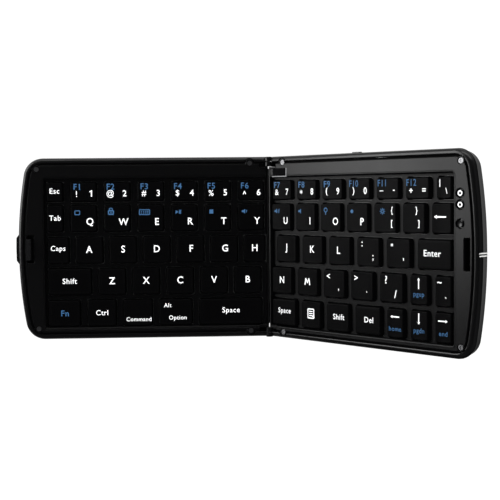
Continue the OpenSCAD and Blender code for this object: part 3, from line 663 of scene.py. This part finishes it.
def make_deck(side):
    """The deck with its ears, the well's border, and the ledge that makes the groove's floor, whose
    dull plastic is painted shade in the groove.
    """
    body = side + "_half"
    u0, u1 = HOOK_U[side]
    dots = (CONNECT_V, *WINDOW_V) if side == "right" else ()
    holes = [circle(DOT_U, v, DOT_R + FIT) for v in dots]
    holes.append(rounded(u1 - u0, 2 * HOOK_HALF_L, HOOK_CORNER_R, along=0) + ((u0 + u1) / 2, 0))
    deck, ledge, bores, ledge_bores = Piece(side), Piece(side), Piece(side), Piece(side)
    deck.add(plate([deck_outline(RIM + GROOVE, WELL_CHAMFER + BORDER_LAP), *holes],
                   DECK_LOW, DECK_W, DECK_EDGE))
    border = Piece(side).add(well_border())
    border.make(side + "_well_border", body, "deck_plastic", DECK_PLASTIC, DECK_SHARP)
    ledge.add(plate([deck_outline(RIM + FIT, WELL_CHAMFER + LEDGE_LAP), *holes],
                    DECK_LOW + SUNK_IN, DECK_W - GROOVE_H, LEDGE_EDGE))
    seat = DECK_W - BORE_H
    for u, v in [(u, sign * v) for u, v in SCREWS for sign in (1, -1)]:
        deck.add(post(u, v, EAR_R, DECK_LOW + 2 * SUNK_IN, DECK_W + EAR_PROUD, EAR_EDGE))
        bores.add(post(u, v, BORE_R, seat, BEYOND))
        bores.add(post(u, v, SCREW_R, DECK_LOW - BEYOND, seat + BORE_LAP))
        ledge_bores.add(post(u, v, BORE_R, DECK_LOW - BEYOND, BEYOND))
    ledge.make(side + "_deck_ledge", body, "deck_plastic", GROOVE_PAINTED_SHADE, DECK_SHARP,
               ledge_bores, smooth=False)
    deck.make(side + "_deck_plate", body, "deck_plastic", DECK_PLASTIC, DECK_SHARP,
              bores, [side + "_deck"], smooth=False)


# ---- Legends ----

def words(text, height):
    """Text as a thin closed mesh: centred on its own outline, capitals height mm tall."""
    if text not in LETTERING:
        shapes = []
        for body in ("H", text):
            curve = bpy.data.curves.new("text", "FONT")
            curve.body, curve.size, curve.resolution_u = body, TEXT_SIZE, TEXT_STEPS
            curve.extrude, curve.space_character = INK_HALF_T, SPACING
            curve.offset = FATTER_SMALL if text in SOLID_SIGNS or len(text) > 2 else FATTER
            shapes.append(curve_shape(curve))
        (cap, _), (points, faces) = shapes
        scale = 1 / np.ptp(cap[:, 1])
        narrow = NARROW_LETTER if len(text) == 1 else NARROW_WORD
        if text[:2] == "F1" and len(text) == 3:
            narrow = NARROW_F_NUMBER
        middle = (points.min(0) + points.max(0)) / 2
        LETTERING[text] = (points - middle) * (scale * narrow, scale, 1), faces
    points, faces = LETTERING[text]
    return points * (height, height, 1), faces


def patch(outline):
    """A filled shape with the given outline, counterclockwise."""
    return prism(np.array(outline, float), -INK_HALF_T, INK_HALF_T)


def bar(x0, y0, x1, y1, width=0.42):
    """A straight stroke from one point to another."""
    a, b = np.array([x0, y0], float), np.array([x1, y1], float)
    along = (b - a) / np.linalg.norm(b - a)
    across = np.array([-along[1], along[0]]) * width / 2
    return patch([a - across, b - across, b + across, a + across])


def hoop(x, y, r, width=0.35, steps=20):
    """A ring of the given stroke width: its flat section carried round a circle."""
    outer, inner = circle(x, y, r + width / 2, steps), circle(x, y, r - width / 2, steps)
    low, high = -INK_HALF_T, INK_HALF_T
    return loft([ring(inner, low), ring(outer, low), ring(outer, high), ring(inner, high),
                 ring(inner, low)], capped=False)


def outlined(w, h, width=0.35):
    """The four sides of a rectangle as strokes."""
    x, y = w / 2, h / 2
    return [bar(-x, -y, x, -y, width), bar(x, -y, x, y, width),
            bar(x, y, -x, y, width), bar(-x, y, -x, -y, width)]


def arrow(dx, dy, length=5.4, head=1.0):
    """An arrow along (dx, dy): a stroke and a pointed head."""
    d, n = np.array([dx, dy], float), np.array([-dy, dx], float)
    tip, neck = d * length / 2, d * (length / 2 - head * 1.2)
    return [bar(*(-d * length / 2), *neck, 0.55),
            patch([tip, neck + n * head * 0.75, neck - n * head * 0.75])]


LETTERING = {}
HORN = patch([(-1.2, -0.4), (-0.5, -0.4), (0.2, -1.0), (0.2, 1.0), (-0.5, 0.4), (-1.2, 0.4)])
ICONS = {  # in mm round (0, 0), before a mark's size multiplies them
    "window": outlined(2.0, 1.6),
    "lock": [*outlined(2.0, 1.5, 0.5), hoop(0, 1.25, 0.6, 0.3), bar(0, -0.4, 0, 0.4, 0.4)],
    "keys": [*outlined(4.2, 2.0), *[bar(x, y, x + 0.5, y) for x in (-1.5, -0.6, 0.3, 1.1)
                                    for y in (0.35, -0.35)]],
    "play": [patch([(-1.0, -0.8), (0.2, 0.0), (-1.0, 0.8)]),
             bar(0.6, -0.8, 0.6, 0.8, 0.35), bar(1.1, -0.8, 1.1, 0.8, 0.35)],
    "stop": [patch([(-0.8, -0.8), (0.8, -0.8), (0.8, 0.8), (-0.8, 0.8)])],
    "quiet": [HORN],
    "loud": [HORN, bar(0.7, -0.6, 0.9, 0.6, 0.28), bar(1.2, -0.9, 1.45, 0.9, 0.28)],
    "soft": [HORN, bar(0.7, -0.5, 0.85, 0.5, 0.28)],
    "find": [hoop(0, 0.5, 0.8), bar(0, -0.3, 0, -1.4, 0.4)],
    "dot": [patch(circle(0, 0, 0.7, 16))],
    "star": [bar(math.cos(a) * 0.3, math.sin(a) * 0.3, math.cos(a) * 1.15, math.sin(a) * 1.15, 0.3)
             for a in np.radians(np.arange(0, 360, 45))],
    "one": [bar(0.35, -1.65, 0.35, 1.65, 0.62), bar(0.3, 1.45, -0.65, 0.85, 0.5)],
    "m_sign": [bar(-1.75, -1.85, -1.15, 1.7, 0.6), bar(-1.15, 1.7, 0, -0.8, 0.6),
               bar(0, -0.8, 1.15, 1.7, 0.6), bar(1.15, 1.7, 1.75, -1.85, 0.6)],
    "left": arrow(-1, 0),
    "right": arrow(1, 0),
    "up": arrow(0, 1),
    "down": arrow(0, -1),
    "menu": [*outlined(3.0, 3.4, 0.4), *[bar(-0.9, y, 0.9, y, 0.35) for y in (0.8, 0.0, -0.8)],
             patch([(0.6, -1.1), (2.0, -1.7), (1.4, -0.5)])],
}

# Marks on a key: each is its text or icon, its ink, its place x and y from the key's middle, and
# its size
WHITE, BLUE = "white", "blue"
INKS = {WHITE: WHITE_INK, BLUE: BLUE_INK}


def number(f_name, shifted, plain):
    """A number key: its F name above, the shifted sign on the left and the number on the right."""
    mark, size = ("one", 1.0) if plain == "1" else (plain, 3.3)
    return [(f_name, BLUE, -3.5, 2.75, 3.2), (shifted, WHITE, -3.7, -1.1, 3.1),
            (mark, WHITE, 4.0, -0.9, size)]


def letter(name, dx=0.0):
    """A letter in the middle."""
    return [(name, WHITE, dx, 0.4, 3.7)]


def upper(name, icon):
    """A letter in the lower right and a small icon in the upper left."""
    return [(name, WHITE, 3.3, -1.9, 3.7), (icon, BLUE, -3.4, 3.2, 1.3)]


def pair(shifted, plain, size=3.2, dx=3.2):
    """A shifted sign in the upper left and a plain one in the lower right."""
    return [(shifted, WHITE, -dx - 0.6, 4.0, size), (plain, WHITE, dx, -2.8, size)]


def word(text, size=2.7, dx=0.0, dy=0.4, color=WHITE):
    """One word."""
    return [(text, color, dx, dy, size)]


def cursor(icon, text):
    """An arrow above a small blue word."""
    return [(icon, WHITE, -0.2, 3.2, 1.0), (text, BLUE, 0.0, -2.7, 2.25)]


# Rows from the far side to the near one: where the first key starts, then the keys from the hinge
# outwards, each as its node, its width and its marks
LEFT_ROWS = [
    (0.18 * PLAIN, [
        *[("keys_left_numbers", PLAIN, number(*marks)) for marks in (
            ("F6", "^", "6"), ("F5", "%", "5"), ("F4", "$", "4"),
            ("F3", "#", "3"), ("F2", "@", "2"), ("F1", "!", "1"))],
        ("keys_left_numbers", 0.61 * PLAIN, word("Esc", 2.8, 0.0, 0.6))]),
    (0.2 * PLAIN, [
        ("key_y", PLAIN, upper("Y", "soft")), ("key_t", PLAIN, upper("T", "stop")),
        ("key_r", PLAIN, upper("R", "play")), ("key_e", PLAIN, upper("E", "keys")),
        ("key_w", PLAIN, upper("W", "lock")), ("key_q", PLAIN, upper("Q", "window")),
        ("keys_left_edge", 0.61 * PLAIN, word("Tab", 2.8))]),
    (0.15 * PLAIN, [
        ("key_h", 0.82 * PLAIN, letter("H")), ("key_g", BROAD, letter("G", 0.5)),
        ("key_f", BROAD, letter("F", 0.4)), ("key_d", BROAD, letter("D")),
        ("key_s", BROAD, letter("S")), ("key_a", BROAD, letter("A")),
        ("keys_left_edge", 0.82 * PLAIN, word("Caps", 2.65, 0.0, 0.7))]),
    (0.32 * PLAIN, [
        ("key_b", BROAD, letter("B")), ("key_v", BROAD, letter("V")),
        ("key_c", BROAD, letter("C")), ("key_x", BROAD, letter("X")),
        ("key_z", BROAD, letter("Z")),
        ("keys_left_edge", 1.69 * PLAIN, word("Shift", 2.85))]),
    (0.29 * PLAIN, [
        ("key_left_space", 2.47 * PLAIN, word("Space", 2.75)),
        ("keys_left_edge", 1.27 * PLAIN,
         word("Alt", 2.15, -4.5, 3.8) + word("Option", 2.2, 0.9, -3.3)),
        ("keys_left_edge", 1.11 * PLAIN, word("Command", 2.15, 0.4, -3.6)),
        ("keys_left_edge", 1.1 * PLAIN, word("Ctrl", 2.7, 0.0, 0.2)),
        ("keys_left_edge", 1.23 * PLAIN, word("Fn", 3.2, 0.3, 0.1, BLUE))]),
]
RIGHT_ROWS = [
    (0.18 * PLAIN, [
        *[("keys_right_numbers", PLAIN, number(*marks)) for marks in (
            ("F7", "&", "7"), ("F8", "*", "8"), ("F9", "(", "9"),
            ("F10", ")", "0"), ("F11", "_", "-"), ("F12", "+", "="))],
        ("keys_right_numbers", 0.61 * PLAIN,
         word("|", 2.7, -2.3, 2.2) + word("\\", 2.7, 1.4, -1.4))]),
    (0.14 * PLAIN, [
        ("key_u", PLAIN, upper("U", "loud")), ("key_i", PLAIN, upper("I", "quiet")),
        ("key_o", PLAIN, upper("O", "find")), ("key_p", PLAIN, upper("P", "dot")),
        ("keys_right_edge", PLAIN,
         word("{", 2.9, 4.4, 3.6) + word("[", 2.9, 4.4, -2.8) + [("star", BLUE, -1.6, 3.3, 1.4)]),
        ("keys_right_edge", 0.96 * PLAIN, word("}", 2.9, 1.7, 3.6) + word("]", 2.9, 3.0, -2.7)),
        ("keys_right_edge", 0.81 * PLAIN, [("left", WHITE, -0.8, 0.8, 1.25)])]),
    (0.38 * PLAIN, [
        ("key_j", BROAD, letter("J")), ("key_k", BROAD, letter("K")),
        ("key_l", BROAD, letter("L", -0.6)),
        ("keys_right_edge", BROAD, pair(":", ";", 3.6)),
        ("keys_right_edge", BROAD, pair('"', "'")),
        ("keys_right_edge", 1.42 * PLAIN, word("Enter", 3.0, -1.0, 0.7))]),
    (0.13 * PLAIN, [
        ("key_n", BROAD, letter("N")), ("key_m", BROAD, [("m_sign", WHITE, 0.0, 0.4, 1.0)]),
        ("keys_right_edge", BROAD, pair("<", ",")),
        ("keys_right_edge", BROAD, pair(">", ".")),
        ("keys_right_edge", BROAD, pair("?", "/", 3.8, 2.6)),
        ("keys_right_edge", 0.76 * PLAIN, cursor("up", "pgup")),
        ("keys_right_edge", 0.67 * PLAIN, word("~", 3.2, -2.1, 4.2) + word("`", 3.2, 1.4, -2.8))]),
    (0.13 * PLAIN, [
        ("key_right_space", 1.25 * PLAIN, word("Space", 2.7, 0.6, 0.6)),
        ("keys_right_edge", 0.99 * PLAIN, [("menu", WHITE, 0.0, 0.7, 1.4)]),
        ("keys_right_edge", 1.1 * PLAIN, word("Shift", 2.8, 0.8)),
        ("keys_right_edge", 1.18 * PLAIN, word("Del", 2.8, 0.9)),
        ("keys_right_edge", 0.72 * PLAIN, cursor("left", "home")),
        ("keys_right_edge", 0.74 * PLAIN, cursor("down", "pgdn")),
        ("keys_right_edge", 0.67 * PLAIN, cursor("right", "end"))]),
]


# ---- Keys ----

def key_places(rows):
    """Every key as node, middle u and v, width, depth and marks, spread evenly over its row."""
    for r, (start, keys) in enumerate(rows):
        gap = (KEYS_END_U - start - sum(k[1] for k in keys)) / (len(keys) - 1)
        far = WELL_V1 - KEY_MARGIN - (0 if r == 0 else NUMBER_PITCH + (r - 1) * ROW_PITCH)
        depth = NUMBER_D if r == 0 else KEY_D
        u = start
        for node, width, marks in keys:
            yield node, u + width / 2, far - depth / 2, width, depth, marks
            u += width + gap


def dish(x, l):
    """Depth of the dish at x: a shallow parabola across the cap, none on wide caps."""
    reach = l / 2 - DISH_EDGE
    return -KEY_DISH * np.clip(1 - (x / reach) ** 2, 0, 1) * (l < DISHED_UP_TO)


def key_cap(l, d):
    """Hollow cap: inner roof, inner wall, lower edge, flared flank, rounded edge and dished top."""

    def outer(inset, w, share):
        r = max(KEY_R - KEY_R_LOSS * inset, KEY_R_LEAST)
        outline = rounded(l - 2 * inset, d - 2 * inset, r)
        return ring(outline, w + share * dish(outline[:, 0], l))

    inner = rounded(l - 2 * KEY_WALL, d - 2 * KEY_WALL, KEY_R / 2)
    rings = [ring(inner, -KEY_WALL), ring(inner, -KEY_H),
             outer(-KEY_FLARE + KEY_FOOT_R, -KEY_H, 0), outer(-KEY_FLARE, -KEY_H + KEY_FOOT_R, 0),
             outer(-KEY_SHOULDER_OUT, KEY_SHOULDER_W, 0)]
    rings += [outer(KEY_EDGE * t * t, -KEY_EDGE_H * (1 - t) ** 2, t) for t in np.linspace(0, 1, 5)]
    top = rings[-1][:, :2]
    for share in TOP_SHARES:
        rings.append(ring(top * share, dish(top[:, 0] * share, l)))
    return loft(rings)


def make_keys(side, rows):
    """One piece of caps and one of each ink for every key node."""
    sign = -1 if side == "left" else 1
    caps, inks = {}, {}
    for node, u, v, l, d, marks in key_places(rows):
        middle = (sign * u, v, KEY_TOP)
        points, faces = key_cap(l, d)
        caps.setdefault(node, Piece(side)).add((points + middle, faces), reader=True)
        for mark, color, dx, dy, size in marks:
            ink = inks.setdefault((node, color), Piece(side))
            if mark in ICONS:
                shapes = [(points * (size, size, 1), faces) for points, faces in ICONS[mark]]
            else:
                shapes = [words(mark, size)]
            for points, faces in shapes:
                points = points + (dx, dy, INK_LIFT)
                points[:, 2] += dish(points[:, 0], l)
                ink.add((points + middle, faces), reader=True)
    for node, piece in caps.items():
        piece.make(node + "_cap", node, "key_plastic", KEY_PLASTIC, 40, nodes=[node])
    for (node, color), piece in inks.items():
        piece.make(f"{node}_{color}_legend", node, "key_plastic", INKS[color], 30)


def make_springs(side, rows):
    """The domes and the links under each key node, taken from the whole side's by which key each
    triangle lies under."""
    sign = -1 if side == "left" else 1
    places = list(key_places(rows))
    middles = np.array([(sign * u, v) for _, u, v, _, _, _ in places])
    halves = np.array([(l / 2, d / 2) for _, _, _, l, d, _ in places])
    owners = np.array([node for node, *_ in places])
    up, bed = tuple(AXES[side][2]), tuple(place([(0, 0, BED_W)], side)[0])
    for kind, slot, material in (("domes", "dome_rubber", DOME_RUBBER),
                                 ("scissors", "link_nylon", LINK_NYLON)):
        whole = frame["nodes"][f"{side}_{kind}"].data
        points, merged = np.unique(points_of(whole).round(7), axis=0, return_inverse=True)
        corners = np.empty(len(whole.loops), int)
        whole.loops.foreach_get("vertex_index", corners)
        triangles = merged.ravel()[corners].reshape(-1, 3)
        local = (points - HINGE) * 1000 @ AXES[side].T
        centres = local[triangles][:, :, :2].mean(1)
        outside = (np.abs(centres[:, None] - middles) - halves).max(2)
        under = owners[outside.argmin(1)]
        for node in dict.fromkeys(owners):
            used, faces = np.unique(triangles[under == node], return_inverse=True)
            mesh = bpy.data.meshes.new(f"{node}_{kind}")
            mesh.from_pydata(points[used].tolist(), [], faces.reshape(-1, 3).tolist())
            made = dress(show(f"{node}_{kind}", mesh), side + "_half", slot, material,
                         nodes=[f"{side}_{kind}"])
            node + "_press"
            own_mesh(made)
            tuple(up)
            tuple(bed)


# ---- Details ----

def make_corner_plate():
    """Bare dark plate in the far hinge corner of the right deck, with a light bead, a painted
    highlight, on two sides.
    """
    (u0, u1), (v0, v1) = PLATE_U, PLATE_V
    low = DECK_W - SUNK_IN
    outline = rounded(u1 - u0, v1 - v0, PLATE_R, along=0) + ((u0 + u1) / 2, (v0 + v1) / 2)
    piece, bead = Piece("right"), Piece("right")
    piece.add(plate([outline], low, DECK_W + PLATE_T, PLATE_EDGE))
    piece.make("corner_plate", "right_half", "window_plastic", PLATE_FILM)
    for strip in (oblong(u1, u1 + BEAD, v0, v1),
                  oblong(u0 - BEAD_BEYOND, u1 + BEAD, v0 - BEAD, v0)):
        bead.add(plate([strip], low, DECK_W + BEAD_T, BEAD_EDGE))
    bead.make("corner_plate_bead", "right_half", "deck_plastic", BEAD_PAINTED_HIGHLIGHT)


def turned(v, edge, crown):
    """A round body standing at v in the row of controls, its profile turned round: a flange below
    the deck, a cap with its edge cut back, and the crown."""
    profile = [(FLANGE_R, FLANGE_W), (DOT_R, FLANGE_W), (DOT_R, SHOULDER_W),
               (DOT_CAP_R, SHOULDER_W), (DOT_CAP_R, DOT_TOP - edge), (DOT_CAP_R - edge, DOT_TOP)]
    profile += [(r, DOT_TOP + height) for r, height in crown]
    return loft([ring(circle(DOT_U, v, r), w) for r, w in profile])


def make_controls():
    """Connect button with a dished top, and status windows with a plain lamp mark each."""
    button, windows, marks = Piece("right"), Piece("right"), Piece("right")
    button.add(turned(CONNECT_V, CONNECT_EDGE, CONNECT_CROWN))
    button.make("connect_button_cap", "connect_button", "control_plastic", CONTROL_PLASTIC, 40,
                nodes=["connect_button"])
    for v in WINDOW_V:
        windows.add(turned(v, WINDOW_EDGE, WINDOW_CROWN))
        points, faces = hoop(DOT_U, v, LAMP_MARK_R, LAMP_MARK_WIDTH)
        marks.add((points + (0, 0, DOT_TOP + LAMP_MARK_LIFT), faces))
    windows.make("status_lenses", "right_half", "window_plastic", WINDOW_PLASTIC, 40,
                 nodes=["status_windows"])
    marks.make("status_marks", "right_half", "window_plastic", WHITE_INK, 30)


def make_end_notch():
    """Two light ribs beside each other in the notch across the right half's end wall."""
    ribs = Piece("right")
    for v in RIB_V:
        for w0, w1, inset in RIB_STEPS:
            ribs.add(box(END_MID - END_NOTCH_D - RIB_SUNK, END_MID - inset, v, v + RIB_T, w0, w1))
    ribs.make("end_notch_ribs", "right_half", "shell_plastic", NOTCH_PLASTIC, 30)


# ---- Stage, lights and camera ----

FLOOR_HALF = 3.0
FLOOR_SEEN, FLOOR_WHITENED = 1.05, 0.9  # brightness to the camera, and how much hides the shadow
MIRRORED_FROM, MIRRORED_TO = (-0.12, 0.02), (-0.03, 0.45)  # place along v, and brightness there
SKY = ((0.0, 0.14), (0.2, 0.15), (0.5, 0.11), (1.0, 0.045))  # height from the horizon, and level
SKY_BLUE = 1.02


def make_stage():
    """A white floor that takes the object's shadow, dimmer in reflections towards the reader."""
    corners = oblong(-FLOOR_HALF, FLOOR_HALF, -FLOOR_HALF, FLOOR_HALF)
    mesh = bpy.data.meshes.new("floor")
    mesh.from_pydata(ring(corners, 0).tolist(), [], [(0, 1, 2, 3)])
    floor = show("floor", mesh)
    f = Finish("floor_white", (0.92, 0.92, 0.92), 0.9, specular=0.0)
    seen = f.node("ShaderNodeLightPath", out="Is Camera Ray")
    mirrored = f.node("ShaderNodeLightPath", out="Is Glossy Ray")
    (near, near_level), (far, far_level) = MIRRORED_FROM, MIRRORED_TO
    along = f.node("ShaderNodeSeparateXYZ", {0: f.where()}, out="Y")
    level = f.node("ShaderNodeMapRange", {0: along, 1: near, 2: far, 3: near_level, 4: far_level})
    gray = f.node("ShaderNodeCombineColor", {0: level, 1: level, 2: level})
    glow = f.node("ShaderNodeEmission", {"Color": f.mix(seen, gray, 3 * (FLOOR_SEEN,)),
                                         "Strength": 1.0})
    lit = Value(f, f.shader.outputs[0])
    mixed = f.node("ShaderNodeMixShader", {0: FLOOR_WHITENED * seen + mirrored, 1: lit, 2: glow})
    f.put(f.tree.nodes["Material Output"], {"Surface": mixed})
    mesh.materials.append(f.material)


def make_world():
    """Sky: white to the camera, and for light and reflections bright near the horizon, dim
    overhead."""
    world = bpy.data.worlds.new("studio")
    bpy.context.scene.world = world
    world.use_nodes = True
    world.node_tree.nodes.clear()
    n = Nodes(world.node_tree)
    direction = n.node("ShaderNodeTexCoord", out="Generated")
    up = n.node("ShaderNodeSeparateXYZ", {0: direction}, out="Z")
    stops = [(height, (level, level, level * SKY_BLUE)) for height, level in SKY]
    graded = n.node("ShaderNodeValToRGB", {0: up}, stops=stops)
    sky = n.node("ShaderNodeBackground", {"Color": graded})
    white = n.node("ShaderNodeBackground", {"Color": (1, 1, 1)})
    seen = n.node("ShaderNodeLightPath", out="Is Camera Ray")
    mixed = n.node("ShaderNodeMixShader", {0: seen, 1: sky, 2: white})
    n.put(n.tree.nodes.new("ShaderNodeOutputWorld"), {"Surface": mixed})


def lamp(name, at, to, size, watts, mirrored=True):
    """A soft rectangular lamp at one point, facing another, seen in glossy surfaces or not."""
    light = bpy.data.lights.new(name, "AREA")
    light.shape, light.size, light.size_y, light.energy = "RECTANGLE", *size, watts
    made = show(name, light)
    made.location = at
    made.rotation_euler = (Vector(to) - Vector(at)).to_track_quat("-Z", "Y").to_euler()
    made.visible_glossy = mirrored


CAMERA_FROM_HINGE = np.array([-36.111, 27.209, 579.652]) / 1000
CAMERA_TURN = tuple(math.radians(a) for a in (-2.81492, -2.57243, -0.50608))
CAMERA_LENS, CAMERA_SENSOR = 76.93, 36.0


def make_camera():
    """The camera as fitted to the picture, above the hinge and looking almost straight down."""
    camera = show("camera", bpy.data.cameras.new("camera"))
    camera.data.lens, camera.data.sensor_width = CAMERA_LENS, CAMERA_SENSOR
    camera.location = HINGE + CAMERA_FROM_HINGE
    camera.rotation_euler = CAMERA_TURN
    bpy.context.scene.camera = camera


bpy.context.scene.view_settings.view_transform = "Standard"
make_camera()
make_stage()
make_world()
lamp("left_card", at=(-0.42, 0.20, 0.10), to=(0.10, 0.10, 0.05), size=(0.44, 0.20), watts=1.7)
lamp("back_strip", at=(0.1, 1.3, 0.5), to=(0.05, 0.0, 0.05), size=(1.8, 0.4), watts=10.0)
lamp("overhead", at=(0.0, -0.2, 1.2), to=(0.0, 0.0, 0.0), size=(1.0, 1.0), watts=29.0,
     mirrored=False)

finish_cad_nodes()
for half in ("left", "right"):
    make_shell(half)
    make_deck(half)
make_keys("left", LEFT_ROWS)
make_keys("right", RIGHT_ROWS)
make_springs("left", LEFT_ROWS)
make_springs("right", RIGHT_ROWS)
make_corner_plate()
make_controls()
make_end_notch()
